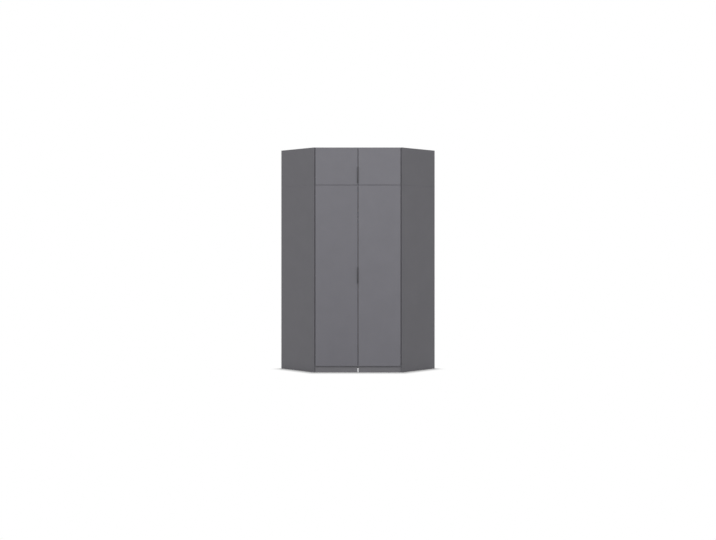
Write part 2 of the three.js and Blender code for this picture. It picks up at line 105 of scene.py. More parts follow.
joints = {joint["name"]: joint for joint in frame["record"]["behaviour"]["joints"]}
hinge_x = abs(joints["lower_right_door_hinge"]["pos_m"][0])
door_face_y = joints["lower_right_door_hinge"]["pos_m"][1]
arris_x = hinge_x + DOOR_EDGE_GAP  # inner front edge of a side panel
carcase_front_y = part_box("lower_bottom_board")[0][1]
corner_y = carcase_front_y + (INNER_LEG + SIDE_DEPTH) / DIAGONAL
rail_height = sum(corner[2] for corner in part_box("hanging_rail_left")) / 2

# Places of a Mix node's sockets, which bear the same names for numbers and for colours
MIX_FACTOR = 0
NUMBER_A, NUMBER_B, NUMBER_OUT = 2, 3, 0
COLOUR_A, COLOUR_B, COLOUR_OUT = 6, 7, 2

NOISE_ROUGHNESS = 0.55  # how much each finer layer of a noise counts against the one before
NOISE_SPAN = (0.3, 0.7)  # a noise seldom goes below or above
SHARP_ANGLE = math.radians(35)  # faces that meet at more keep a crisp edge
ARC_POINTS = 5  # along a quarter arc
ARC_DIP = 0.3  # share of its radius by which a quarter arc's middle lies inside both edges


def linear(hex_colour):
    """An sRGB hex colour such as "78777c" as linear RGBA."""
    channels = [int(hex_colour[i:i + 2], 16) / 255 for i in (0, 2, 4)]
    return tuple(c / 12.92 if c <= 0.04045 else ((c + 0.055) / 1.055) ** 2.4 for c in channels) + (1.0,)


def add(tree, kind, settings, sockets):
    """Adds a node to a tree.

    settings are its own fields. sockets gives each input a value, or the output that feeds it.
    """
    made = tree.nodes.new("ShaderNode" + kind)
    for name, value in settings.items():
        setattr(made, name, value)
    for key, value in sockets.items():
        if isinstance(value, bpy.types.NodeSocket):
            tree.links.new(value, made.inputs[key])
        else:
            made.inputs[key].default_value = value
    return made


def material(name):
    """An empty node material, and its tree."""
    made = bpy.data.materials.new(name)
    made.use_nodes = True
    made.node_tree.nodes.clear()
    return made, made.node_tree


def grain(tree, size_mm, layers, stretch=(1.0, 1.0, 1.0), offset=(0.0, 0.0, 0.0)):
    """Noise on the piece's own coordinates, in blobs about size_mm across.

    stretch draws the blobs out along an axis, and offset moves the whole noise.
    """
    place = add(tree, "TexCoord", {}, {})
    scale = tuple(1 / s for s in stretch)
    drawn = add(tree, "Mapping", {},
                {"Vector": place.outputs["Object"], "Scale": scale, "Location": offset})
    noise = add(tree, "TexNoise", {},
                {"Vector": drawn.outputs["Vector"], "Scale": 1 / (size_mm * MM),
                 "Detail": layers, "Roughness": NOISE_ROUGHNESS})
    return noise.outputs["Fac"]


def tones(tree, factor, first, second, span=NOISE_SPAN):
    """Two hex colours, run into each other as factor crosses the span."""
    ramp = add(tree, "ValToRGB", {}, {"Fac": factor})
    for stop, place, colour in zip(ramp.color_ramp.elements, span, (first, second)):
        stop.position = place
        stop.color = linear(colour)
    return ramp.outputs["Color"]


def finish(tree, colour, height, depth_mm, sockets):
    """Principled surface with that colour, and a bump of depth_mm from a height."""
    bump = add(tree, "Bump", {}, {"Height": height, "Distance": depth_mm * MM, "Strength": 1.0})
    shader = add(tree, "BsdfPrincipled", {},
                 {"Base Color": colour, "Normal": bump.outputs["Normal"], **sockets})
    add(tree, "OutputMaterial", {}, {"Surface": shader.outputs["BSDF"]})


def slate_melamine(name, light, dark, offset=(0.0, 0.0, 0.0)):
    """Chipboard faced with slate grey melamine, pressed with a pearl texture.

    The pearl pimples are 0.7 mm across and give a satin, slightly broken sheen. The tone
    drifts very little over about 180 mm, as printed decor paper does, under faint 2 mm flecks.
    """
    made, tree = material(name)
    drift = grain(tree, size_mm=180, layers=3, offset=offset)
    pearl = grain(tree, size_mm=0.7, layers=1)
    speck = grain(tree, size_mm=2.2, layers=2)
    colour = tones(tree, drift, dark, light)
    fleck = add(tree, "Mix", {"data_type": "RGBA", "blend_type": "MULTIPLY"},
                {MIX_FACTOR: 0.05, COLOUR_A: colour,
                 COLOUR_B: tones(tree, speck, "c8c8c8", "ffffff", span=(0.35, 0.65))})
    finish(tree, fleck.outputs[COLOUR_OUT], pearl, depth_mm=0.02,
           sockets={"Roughness": 0.5, "IOR": 1.5})
    return made


def lacquered_hardboard():
    """Hardboard: grey lacquer towards the inside, bare brown fibre behind.

    Fibres are 1.5 mm wide tangles, in clouds about 60 mm across. The back faces stand at 45 degrees,
    where the normal's Y is 0.7, so any face above looks_back is one of them.
    """
    looks_back = 0.3
    made, tree = material("lacquered_hardboard")
    facing = add(tree, "NewGeometry", {}, {})
    parts = add(tree, "SeparateXYZ", {}, {"Vector": facing.outputs["Normal"]})
    behind = add(tree, "Math", {"operation": "GREATER_THAN"}, {0: parts.outputs["Y"], 1: looks_back})
    fibres = grain(tree, size_mm=1.5, layers=4)
    cloud = grain(tree, size_mm=60, layers=3)
    lacquer = tones(tree, cloud, "74737a", "7a797f")
    tangle = add(tree, "Math", {"operation": "MULTIPLY_ADD"}, {0: cloud, 1: 0.5, 2: fibres})
    brown = tones(tree, tangle.outputs[0], "876c50", "9c8061", span=(0.5, 1.0))
    colour = add(tree, "Mix", {"data_type": "RGBA"},
                 {MIX_FACTOR: behind.outputs[0], COLOUR_A: lacquer, COLOUR_B: brown})
    rough = add(tree, "Mix", {"data_type": "FLOAT"},
                {MIX_FACTOR: behind.outputs[0], NUMBER_A: 0.5, NUMBER_B: 0.85})
    finish(tree, colour.outputs[COLOUR_OUT], fibres, depth_mm=0.05,
           sockets={"Roughness": rough.outputs[NUMBER_OUT], "IOR": 1.5})
    return made


def planed_spruce():
    """Planed spruce batten, bare: early and late wood about 3 mm apart, run along the height."""
    made, tree = material("planed_spruce")
    lines = grain(tree, size_mm=3, layers=2, stretch=(1.0, 1.0, 60.0))
    colour = tones(tree, lines, "b99c74", "d8c19c")
    finish(tree, colour, lines, depth_mm=0.05, sockets={"Roughness": 0.7, "IOR": 1.5})
    return made


def graphite_powder_coat():
    """Steel strip with a graphite powder coat: fine orange peel, 0.5 mm across, satin."""
    made, tree = material("graphite_powder_coat")
    peel = grain(tree, size_mm=0.5, layers=2)
    cloud = grain(tree, size_mm=25, layers=2)
    colour = tones(tree, cloud, "434348", "4a4a4f")
    finish(tree, colour, peel, depth_mm=0.015, sockets={"Roughness": 0.42, "IOR": 1.5})
    return made


def nickel_plated_steel():
    """Pressed steel with a nickel plating: a warm grey metal, lightly streaked by the tool."""
    made, tree = material("nickel_plated_steel")
    streak = grain(tree, size_mm=8, layers=3, stretch=(1.0, 1.0, 0.15))
    colour = tones(tree, streak, "b4b2ae", "c9c7c3")
    rough = add(tree, "MapRange", {}, {"Value": streak, "To Min": 0.22, "To Max": 0.36})
    finish(tree, colour, streak, depth_mm=0.01,
           sockets={"Metallic": 1.0, "Roughness": rough.outputs["Result"]})
    return made


def chromed_tube():
    """Chromium plated steel tube: bright, with faint wipe marks 12 mm across."""
    made, tree = material("chromed_tube")
    wipe = grain(tree, size_mm=12, layers=3)
    rough = add(tree, "MapRange", {}, {"Value": wipe, "To Min": 0.06, "To Max": 0.16})
    finish(tree, tones(tree, wipe, "cfd1d3", "dcdddf"), wipe, depth_mm=0.005,
           sockets={"Metallic": 1.0, "Roughness": rough.outputs["Result"]})
    return made


def moulded_plastic(name, dark, light, rough):
    """Injection moulded polypropylene: a fine spark-eroded mould texture, 0.4 mm across."""
    made, tree = material(name)
    texture = grain(tree, size_mm=0.4, layers=1)
    cloud = grain(tree, size_mm=20, layers=2)
    finish(tree, tones(tree, cloud, dark, light), texture, depth_mm=0.015,
           sockets={"Roughness": rough, "IOR": 1.49})
    return made


def milky_silicone():
    """Self-adhesive silicone buffer: milky, soft gloss, lets some light through."""
    made, tree = material("milky_silicone")
    cloud = grain(tree, size_mm=3, layers=2)
    finish(tree, tones(tree, cloud, "c9ccce", "dfe2e4"), cloud, depth_mm=0.01,
           sockets={"Roughness": 0.25, "IOR": 1.42, "Transmission Weight": 0.35})
    return made


# The melamine surfaces are offset from each other, so that their drift differs. The right doors' copy is a
# shade lighter than the left doors': painted light.
FRONT_LEFT = slate_melamine("slate_melamine_front_left", "77767d", "74737a")
FRONT_RIGHT_PAINTED_LIGHTER = slate_melamine("slate_melamine_front_right_painted_lighter", "7a7980", "77767d", (3.0, 0.0, 0.0))
CARCASE = slate_melamine("slate_melamine_carcase", "757479", "727176", (0.0, 5.0, 0.0))
# A lighter copy of the melamine for the plinth and the lower bottom board: painted light, lifting the
# shade that the doors' overhang casts on them.
PLINTH_PAINTED_LIGHT = slate_melamine("slate_melamine_plinth_painted_light", "7d7c81", "7a797e", (0.0, 0.0, 7.0))
HARDBOARD = lacquered_hardboard()
SPRUCE = planed_spruce()
POWDER = graphite_powder_coat()
NICKEL = nickel_plated_steel()
CHROME = chromed_tube()
LIGHT_PLASTIC = moulded_plastic("off_white_polypropylene", "f1f1f4", "f7f7f9", rough=0.5)
BLACK_PLASTIC = moulded_plastic("black_polypropylene", "1d1d1f", "262629", rough=0.55)
SILICONE = milky_silicone()


def dress_solids():
    """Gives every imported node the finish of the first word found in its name, or the carcase's."""
    finishes = (("left_door", FRONT_LEFT), ("right_door", FRONT_RIGHT_PAINTED_LIGHTER), ("_back_", HARDBOARD),
                ("_corner_post", SPRUCE), ("_handle", POWDER), ("_hinge_", NICKEL), ("rail", CHROME),
                # the plinth and the lower bottom board take the lighter melamine: painted light against
                # the doors' shadow
                ("plinth_joint", LIGHT_PLASTIC), ("plinth", PLINTH_PAINTED_LIGHT), ("lower_bottom_board", PLINTH_PAINTED_LIGHT),
                ("foot", BLACK_PLASTIC))
    for name, thing in frame["nodes"].items():
        surface = next((look for word, look in finishes if word in name), CARCASE)
        thing.data.materials.clear()
        thing.data.materials.append(surface)


dress_solids()


def piece(name, shape, surface, body, replaced=None):
    """A new piece from points and faces, riding on a body, in place of the solid it hides."""
    mesh = bpy.data.meshes.new(name)
    points, faces = shape
    mesh.from_pydata(np.asarray(points).tolist(), [], faces)
    shell = bmesh.new()
    shell.from_mesh(mesh)
    bmesh.ops.recalc_face_normals(shell, faces=shell.faces)
    shell.to_mesh(mesh)
    shell.free()
    mesh.materials.append(surface)
    mesh.shade_smooth()
    mesh.set_sharp_from_angle(angle=SHARP_ANGLE)
    made = bpy.data.objects.new(name, mesh)
    bpy.context.scene.collection.objects.link(made)
    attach(made, body)
    if replaced:
        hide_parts(replaced)


def skin(grid, loop=False):
    """Points and faces of a grid whose columns close on themselves.

    The rows close as well when loop is true. Otherwise each end is filled by a fan to its middle.
    """
    rows, columns = grid.shape[:2]
    i, j = np.meshgrid(np.arange(rows if loop else rows - 1), np.arange(columns), indexing="ij")
    down, right = (i + 1) % rows, (j + 1) % columns
    corners = (i * columns + j, i * columns + right, down * columns + right, down * columns + j)
    faces = np.stack(corners, -1).reshape(-1, 4).tolist()
    points = grid.reshape(-1, 3)
    if loop:
        return points, faces
    ring = np.arange(columns)
    after = (ring + 1) % columns
    last = (rows - 1) * columns
    pole = rows * columns
    fans = np.concatenate([np.stack([np.full(columns, pole), after, ring], -1),
                           np.stack([np.full(columns, pole + 1), last + ring, last + after], -1)])
    return np.concatenate([points, [grid[0].mean(0), grid[-1].mean(0)]]), faces + fans.tolist()


def turned(profile, columns, loop=False):
    """A solid turned about +Z: profile is a row of (radius, height) points, carried round the axis."""
    radius, height = np.array(profile, float).T
    angle = np.linspace(0, FULL_TURN, columns, endpoint=False)
    grid = np.stack([np.outer(radius, np.cos(angle)), np.outer(radius, np.sin(angle)),
                     np.repeat(height[:, None], columns, 1)], -1)
    return skin(grid, loop)


def eased(corners, radii, closed=False, steps=6):
    """A polyline whose corners are turned into arcs: its points, and the heading at each.

    An arc starts radius * tan(turn / 2) before its corner and turns about a centre square to the
    line. A corner of radius nought stays one point, with the mean heading.
    """
    corners = np.array(corners, float)
    ahead = np.roll(corners, -1, 0) - corners
    heading = np.arctan2(ahead[:, 1], ahead[:, 0])
    points, headings = [], []
    for k, radius in enumerate(radii):
        into = heading[k - 1] if closed or k else heading[0]
        out = heading[k] if closed or k < len(corners) - 1 else into
        turn = (out - into + math.pi) % FULL_TURN - math.pi
        arc = into + turn * np.linspace(0, 1, steps + 1) if radius else np.array([into + turn / 2])
        start = corners[k] - radius * math.tan(abs(turn) / 2) * np.array([math.cos(into), math.sin(into)])
        square = math.copysign(radius, turn) * np.stack([-np.sin(arc), np.cos(arc)], -1)
        first = math.copysign(radius, turn) * np.array([-math.sin(into), math.cos(into)])
        points.append(start + first - square)
        headings.append(arc)
    return np.concatenate(points), np.concatenate(headings)


def quarter_arcs():
    """Four quarter arcs in a row, for a section with four rounded corners.

    Gives the angle of each point, and whether its corner is right and upper, as 1 or -1.
    """
    arc = np.linspace(0, QUARTER_TURN, ARC_POINTS)
    angle = np.concatenate([arc + quarter * QUARTER_TURN for quarter in range(4)])
    return angle, np.repeat([1, -1, -1, 1], ARC_POINTS), np.repeat([1, 1, -1, -1], ARC_POINTS)


def rounded_block(width, length, tall, corner, edge):
    """A block with rounded corners and eased edges, its middle at the origin.

    Each ring is a rounded rectangle: a corner's centre plus the corner radius in the point's
    direction. Near both ends the rings draw in by edge * (1 - sin) while they climb by edge * cos.
    """
    angle, right, upper = quarter_arcs()
    arc = np.linspace(0, QUARTER_TURN, ARC_POINTS)
    inset = edge * (1 - np.concatenate([np.sin(arc), np.cos(arc)]))
    height = np.concatenate([edge * (1 - np.cos(arc)) - tall / 2, tall / 2 - edge * (1 - np.sin(arc))])
    reach = corner - inset[:, None]
    return skin(np.stack([right * (width / 2 - corner) + reach * np.cos(angle),
                          upper * (length / 2 - corner) + reach * np.sin(angle),
                          np.repeat(height[:, None], len(angle), 1)], -1))


def drawn_in(radius, distance):
    """How far a strip's edge draws in at a distance from its end, to round its corners.

    It is R - sqrt(R^2 - (R - distance)^2) up to the radius R, and nothing beyond.
    """
    short = np.clip(radius - distance, 0, radius)
    return radius - np.sqrt(radius ** 2 - short ** 2)


def stand(shape, place, out, up=UP):
    """A shape modelled about +Z, set with +Z along out and +Y near up, at a place.

    Where out and up lie on one line, its +X keeps the scene's +X.
    """
    z = np.array(out, float) / np.linalg.norm(out)
    x = np.cross(up, z)
    if not x.any():
        x = np.array((1.0, 0.0, 0.0))
    x /= np.linalg.norm(x)
    return shape[0] @ np.array([x, np.cross(z, x), z]) + np.array(place), shape[1]


def gather(shapes):
    """Several shapes as one."""
    starts = np.cumsum([0] + [len(points) for points, _ in shapes])
    faces = [[i + int(start) for i in face]
             for (_, some), start in zip(shapes, starts) for face in some]
    return np.concatenate([points for points, _ in shapes]), faces


def panel_point(side, back, off, height):
    """A point measured at a side panel: back from its front edge, off its inner face, and up."""
    return side * (arris_x + (back - off) / DIAGONAL), carcase_front_y + (back + off) / DIAGONAL, height


def wall_point(side, along, off, height):
    """A point measured at a room wall: along it from the corner, off it, and up."""
    return side * (along - off) / DIAGONAL, corner_y - (along + off) / DIAGONAL, height


def cross_head(radius, high):
    """Screw head with a cross recess, on a grid of ring and angle.

    The dome's height is high * (1 - share^2 / 2) at a share of the radius. Inside the cross it is
    lower. In each quarter the first two columns run along the two edges of one arm, so that its
    walls are straight: their angle at a share is the arcsine of the arm's half width over it.
    """
    share = np.array([1.0, 1.0, 0.94, 0.78, 0.58, 0.52, 0.34, 0.21])
    arm_half = 0.13  # half an arm's width, as a share of the radius
    arm_end = 0.55  # as a share of the radius
    recess = 0.55  # as a share of the height
    widest = 0.62  # largest sine of an arm's edge, by the middle where the arms meet
    wall_slope = 1.12  # angle of the wall's upper edge, as a share of its lower one's
    next_arm = math.radians(43)  # the upper edge goes no further towards the next arm
    edge = np.arcsin(np.minimum(arm_half / share, widest))
    outside = np.minimum(edge * wall_slope, next_arm)
    quarter = np.stack([-edge, edge, outside, np.full_like(edge, math.pi / 4),
                        QUARTER_TURN - outside], -1)
    in_arm = np.array([1, 1, 0, 0, 0])
    angle = np.concatenate([quarter + k * QUARTER_TURN for k in range(4)], 1)
    inside = np.tile(in_arm, 4) * (share < arm_end)[:, None]
    inside[-1] = 1
    height = high * (1 - share[:, None] ** 2 / 2 - recess * inside)
    height[0] = 0.0
    across = radius * share[:, None]
    return skin(np.stack([across * np.cos(angle), across * np.sin(angle), height], -1))


def three_screws(head, middle, radius, right, upper, out):
    """Three screw heads on a circle about a middle, a third of a turn apart, one of them upper.

    Each sits at middle + radius * (cos * right + sin * upper).
    """
    spots = [np.array(middle) + radius * (np.cos(turn) * np.array(right) + np.sin(turn) * np.array(upper))
             for turn in np.radians([90, 210, 330])]
    return gather([stand(head, spot, out) for spot in spots])


def handles():
    """Bent strip pulls: a leg behind the door, a web in the gap, a lip turned back over the door.

    A section with rounded edges is carried along the strip's middle line in plan. Towards the
    front its upper and lower ends draw in along an arc, which rounds the lip's corners.
    """
    edge = 0.35 * MM  # round of the strip's edges
    half = HANDLE_SHEET / 2
    bows = HANDLE_CORNER * (1 - np.cos(np.radians([90, 80, 70, 60, 50])))  # rows along those arcs
    angle, front, upper = quarter_arcs()
    off = front * (half - edge) + edge * np.cos(angle)
    for unit, _ in UNITS:
        low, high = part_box(f"{unit}_{PULL_LEAF}_handle")
        near, far = -high[0], -low[0]
        line = [(far, high[1] - half), (near + half, high[1] - half)]
        line += [(near + half, low[1] + bow) for bow in bows]
        line += [(near + half, low[1] + half), (near + HANDLE_LIP, low[1] + half)]
        middle, heading = eased(line, [0, HANDLE_SHEET] + [0] * len(bows) + [HANDLE_BEND - half, 0])
        drawn = drawn_in(HANDLE_CORNER, middle[:, 1:] - low[1])
        x = -middle[:, :1] + np.sin(heading)[:, None] * off
        y = middle[:, 1:] + np.cos(heading)[:, None] * off
        z = np.where(upper > 0, high[2] - edge - drawn, low[2] + edge + drawn) + edge * np.sin(angle)
        piece(f"{unit}_edge_pull", skin(np.stack([x, y, z], -1)), POWDER, f"{unit}_{PULL_LEAF}_door",
              f"{unit}_{PULL_LEAF}_handle")


handles()


def cup_outline(angle):
    """Distance from the cup's axis to its flange's edge at an angle.

    The edge is a rounded rectangle, met by the ray on a long side, an end or a corner's arc, and
    nowhere nearer than the cup itself.
    """
    tiny = 1e-9
    wide, tall = CUP_FLANGE_WIDTH / 2, CUP_FLANGE_LENGTH / 2
    x, y = np.abs(np.cos(angle)), np.abs(np.sin(angle))
    to_side, to_end = wide / np.maximum(x, tiny), tall / np.maximum(y, tiny)
    middle_x, middle_y = wide - CUP_FLANGE_ROUND, tall - CUP_FLANGE_ROUND
    towards = x * middle_x + y * middle_y
    rest = towards ** 2 - middle_x ** 2 - middle_y ** 2 + CUP_FLANGE_ROUND ** 2
    to_arc = towards + np.sqrt(np.maximum(rest, 0))
    straight = np.where(to_side * y <= middle_y, to_side, np.where(to_end * x <= middle_x, to_end, to_arc))
    return np.maximum(straight, CUP_RADIUS)


def hinge_cup_shape(deep):
    """Deep-drawn hinge cup with its flange, the axis on +Z and the rim's face at zero.

    Ring by ring from the floor's middle outside, round the flange, to the floor's middle inside.
    The columns are spread evenly along the flange's edge.
    """
    columns, samples = 96, 15  # samples of the outline for each column
    fillet, ease = 1.5 * MM, 0.35 * MM
    fillet_dip, ease_dip = ARC_DIP * fillet, ARC_DIP * ease
    dense = np.linspace(0, FULL_TURN, samples * columns + 1)
    edge = np.stack([np.cos(dense), np.sin(dense)], -1) * cup_outline(dense)[:, None]
    run = np.concatenate([[0], np.cumsum(np.linalg.norm(np.diff(edge, axis=0), axis=1))])
    angle = np.interp(np.linspace(0, run[-1], columns, endpoint=False), run, dense)
    outer = cup_outline(angle)
    bore = CUP_RADIUS - CUP_WALL
    floor = CUP_WALL - deep
    rings = [(CUP_RADIUS - fillet, -deep), (CUP_RADIUS - fillet_dip, fillet_dip - deep),
             (CUP_RADIUS, fillet - deep), (CUP_RADIUS, -CUP_FLANGE), (outer, -CUP_FLANGE),
             (outer, -ease), (outer - ease_dip, -ease_dip), (outer - ease, 0.0),
             (bore + ease, 0.0), (bore + ease_dip, -ease_dip), (bore, -ease),
             (bore, floor + fillet), (bore - fillet_dip, floor + fillet_dip), (bore - fillet, floor)]
    radius = np.array([np.broadcast_to(r, angle.shape) for r, _ in rings])
    height = np.repeat(np.array([z for _, z in rings])[:, None], columns, 1)
    return skin(np.stack([radius * np.cos(angle), radius * np.sin(angle), height], -1))


def hinge_fittings():
    """The hinge cups with two screws in each flange, and the screws on the side panels.

    Those are two in each mounting plate's wings, and two adjusting screws in each arm.
    """
    cup_screw_spread = 25 * MM  # from the cup's middle, up and down
    plate_screw_spread = 16 * MM  # two system holes, 32 mm apart
    cup_head = cross_head(radius=3.6 * MM, high=1.6 * MM)
    plate_head = cross_head(radius=4.2 * MM, high=1.9 * MM)
    arm_head = cross_head(radius=2.6 * MM, high=2.3 * MM)
    low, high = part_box("lower_left_hinge_cup_1")
    cup = hinge_cup_shape(high[1] - low[1])
    for unit, count in UNITS:
        for word, side in SIDES:
            stem = f"{unit}_{word}"
            inward = (-side, 1, 0)
            for i in range(1, count + 1):
                low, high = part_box(f"{stem}_hinge_cup_{i}")
                x, y, z = (low[0] + high[0]) / 2, high[1], (low[2] + high[2]) / 2
                piece(f"{stem}_drawn_cup_{i}", stand(cup, (x, y, z), INTO_CABINET), NICKEL,
                      f"{stem}_door", f"{stem}_hinge_cup_{i}")
                on_cup = [stand(cup_head, (x, y, z + up * cup_screw_spread), INTO_CABINET)
                          for up in (-1, 1)]
                piece(f"{stem}_cup_screws_{i}", gather(on_cup), NICKEL, f"{stem}_door")
                wings = [panel_point(side, WING_BACK, PLATE_TOP, z + up * plate_screw_spread)
                         for up in (-1, 1)]
                rib = [panel_point(side, back, RIB_TOP, z) for back in ARM_SCREWS_BACK]
                on_panel = [stand(plate_head, place, inward) for place in wings]
                on_panel += [stand(arm_head, place, inward) for place in rib]
                piece(f"{stem}_arm_screws_{i}", gather(on_panel), NICKEL, "carcase")


hinge_fittings()


def hinge_links():
    """Curved links, pressed from strip: a section with rounded edges carried round the door's axis.

    A section point at (off, up) goes to radius + off along the ray at each angle. At both ends
    the section's height draws in along an arc, which rounds the strip's corners.
    """
    edge, corner = 0.5 * MM, 2 * MM
    end_rows, even_rows = 6, 30
    middle = LINK_RADIUS + LINK_SHEET / 2
    start, end = np.radians(LINK_ENDS)
    round_off = corner / middle * (1 - np.cos(np.linspace(0, QUARTER_TURN, end_rows)))
    even = np.linspace(start + round_off[-1], end - round_off[-1], even_rows)[1:-1]
    angle = np.concatenate([start + round_off, even, (end - round_off)[::-1]])
    to_end = np.minimum(angle - start, end - angle) * middle
    drawn = drawn_in(corner, to_end)[:, None]
    around, outer, upper = quarter_arcs()
    off = outer * (LINK_SHEET / 2 - edge) + edge * np.cos(around)
    ray = middle + off
    for unit, count in UNITS:
        for word, side in SIDES:
            for i in range(1, count + 1):
                low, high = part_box(f"{unit}_{word}_hinge_link_{i}")
                half = (high[2] - low[2]) / 2 - edge - drawn
                x = side * (hinge_x - ray * np.cos(angle)[:, None])
                y = door_face_y + ray * np.sin(angle)[:, None]
                z = (low[2] + high[2]) / 2 + upper * half + edge * np.sin(around)
                piece(f"{unit}_{word}_curved_link_{i}", skin(np.stack([x, y, z], -1)), NICKEL,
                      f"{unit}_{word}_hinge_links", f"{unit}_{word}_hinge_link_{i}")


hinge_links()


def handle_screws():
    """Two low screws through each pull's leg into the back of the door."""
    inset = 36 * MM  # from each end of the pull
    off_middle = 16 * MM  # from the middle of the front
    head = cross_head(radius=3.4 * MM, high=1.2 * MM)
    for unit, _ in UNITS:
        low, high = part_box(f"{unit}_{PULL_LEAF}_handle")
        heads = [stand(head, (-off_middle, high[1], z), INTO_CABINET)
                 for z in (low[2] + inset, high[2] - inset)]
        piece(f"{unit}_handle_screws", gather(heads), NICKEL, f"{unit}_{PULL_LEAF}_door")


handle_screws()


def door_buffers():
    """Milky silicone dots at each door's meeting edge, one near the top and one near the bottom.

    A dot is left out where the door overlaps the board behind it too little for the dot to land.
    """
    radius, thick = 4 * MM, 1.6 * MM
    off_middle = 24 * MM
    dome = ((1.0, 0.0), (0.98, 0.5), (0.8, 0.9), (0.4, 1.0))  # shares of radius and thickness
    dot = turned([(radius * across, thick * up) for across, up in dome], columns=24)
    for unit, _ in UNITS:
        boards = [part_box(f"{unit}_{place}_board") for place in ("bottom", "top")]
        for word, side in SIDES:
            low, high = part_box(f"{unit}_{word}_door")
            meetings = [(max(low[2], board[0][2]), min(high[2], board[1][2])) for board in boards]
            heights = [(start + end) / 2 for start, end in meetings if end - start > 2 * radius]
            dots = [stand(dot, (side * off_middle, high[1], z), INTO_CABINET) for z in heights]
            piece(f"{unit}_{word}_door_buffers", gather(dots), SILICONE, f"{unit}_{word}_door")


door_buffers()


def cam_housings():
    """Cam housings let into the boards by each side panel, level with the face but for a rim."""
    off_panel = 24 * MM
    back = (60 * MM, 455 * MM)
    head = cross_head(radius=7.5 * MM, high=0.6 * MM)
    boards = (("lower_bottom_board", 1), ("hat_shelf", -1), ("lower_top_board", -1),
              ("upper_bottom_board", 1), ("upper_top_board", -1))
    for name, up in boards:
        low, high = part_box(name)
        face = high[2] if up > 0 else low[2]
        heads = [stand(head, panel_point(side, at, off_panel, face), (0, 0, up))
                 for _, side in SIDES for at in back]
        piece(f"{name}_cam_housings", gather(heads), NICKEL, "carcase")


cam_housings()


def back_nails():
    """Flat nail heads along each back panel, into the edges of level boards and the corner post."""
    spacing = 140 * MM
    first, last = 40 * MM, INNER_LEG - 60 * MM
    post_inset, post_end = 24 * MM, 90 * MM
    radius, high_head = 2.6 * MM, 0.5 * MM
    flat = ((1.0, 0.0), (1.0, 0.6), (0.8, 1.0))  # shares of the head's radius and height
    head = turned([(radius * across, high_head * up) for across, up in flat], columns=12)
    for unit, _ in UNITS:
        boards = [f"{unit}_bottom_board", f"{unit}_top_board"] + (["hat_shelf"] if unit == "lower" else [])
        rows = [sum(corner[2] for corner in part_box(board)) / 2 for board in boards]
        low, high = (corner[2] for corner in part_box(f"{unit}_back_left"))
        along = np.linspace(first, last, round((last - first) / spacing) + 1)
        places = [(off, z) for z in rows for off in along]
        post = np.linspace(low + post_end, high - post_end, round((high - low) / spacing))
        places += [(INNER_LEG - post_inset, z) for z in post]
        for word, side in SIDES:
            heads = [stand(head, panel_point(side, SIDE_DEPTH, off, z), (side, 1, 0)) for off, z in places]
            piece(f"{unit}_back_{word}_nails", gather(heads), NICKEL, "carcase")


back_nails()


def hanging_rails():
    """Chromed tubes with a welded flange at the side panel, three screws in each flange.

    The wall of tube and flange is one closed profile turned about the rail's axis.
    """
    arris, fillet, ease = 0.2 * MM, 2 * MM, 1.2 * MM
    screw_circle = 18.5 * MM
    start, end = RAIL_FROM_WALL + RAIL_BLOCK / 2 + SEAT, INNER_LEG - SEAT
    length = end - start
    bore = RAIL_RADIUS - RAIL_WALL
    corners = [(bore, 0), (RAIL_RADIUS, 0), (RAIL_RADIUS, length - RAIL_FLANGE),
               (RAIL_FLANGE_RADIUS, length - RAIL_FLANGE), (RAIL_FLANGE_RADIUS, length), (bore, length)]
    profile, _ = eased(corners, [arris, arris, fillet, ease, 0, 0], closed=True)
    tube = turned(profile, columns=48, loop=True)
    head = cross_head(radius=3.2 * MM, high=1.1 * MM)
    for word, side in SIDES:
        towards = np.array((side, -1, 0)) / DIAGONAL
        square = np.array((side, 1, 0)) / DIAGONAL
        foot = wall_point(side, start, RAIL_FROM_WALL, rail_height)
        piece(f"chromed_rail_{word}", stand(tube, foot, towards), CHROME, "carcase",
              f"hanging_rail_{word}")
        face = wall_point(side, end - RAIL_FLANGE, RAIL_FROM_WALL, rail_height)
        screws = three_screws(head, face, screw_circle, right=square, upper=UP, out=-towards)
        piece(f"rail_flange_screws_{word}", screws, NICKEL, "carcase")


hanging_rails()


def rail_block():
    """Die-cast block that holds both rails, hung from the hat shelf on a stem with a screwed plate.

    Block, stem and spigots are a rounded block and turned profiles, each set into the next.
    """
    half, edge = RAIL_BLOCK / 2, 2.5 * MM
    fillet, ease = 3 * MM, 1.2 * MM
    chamfer = 1 * MM
    screw_circle = 19 * MM
    centre = wall_point(1, RAIL_FROM_WALL, RAIL_FROM_WALL, rail_height)
    along_wall = (1, 1, 0)
    cube = rounded_block(RAIL_BLOCK, RAIL_BLOCK, RAIL_BLOCK, corner=4 * MM, edge=edge)
    block = stand(cube, centre, UP, along_wall)
    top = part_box("rail_corner_block")[1][2] - rail_height
    corners = [(STEM_RADIUS, half - edge), (STEM_RADIUS, top - BLOCK_PLATE),
               (BLOCK_PLATE_RADIUS, top - BLOCK_PLATE), (BLOCK_PLATE_RADIUS, top)]
    profile, _ = eased(corners, [0, fillet, ease, 0])
    stem = stand(turned(profile, columns=48), centre, UP)
    radius = RAIL_RADIUS - RAIL_WALL - SEAT
    spigot = turned([(radius, 0.0), (radius, SPIGOT - chamfer), (radius - chamfer, SPIGOT)], columns=40)
    spigots = [stand(spigot, wall_point(side, RAIL_FROM_WALL + half, RAIL_FROM_WALL, rail_height),
                     (side, -1, 0)) for _, side in SIDES]
    piece("cast_rail_block", gather([block, stem] + spigots), CHROME, "carcase",
          "rail_corner_block")
    head = cross_head(radius=3.2 * MM, high=1.1 * MM)
    under_plate = (centre[0], centre[1], rail_height + top - BLOCK_PLATE)
    screws = three_screws(head, under_plate, screw_circle, right=(1, 0, 0), upper=(0, 1, 0), out=DOWN)
    piece("block_plate_screws", screws, NICKEL, "carcase")


rail_block()


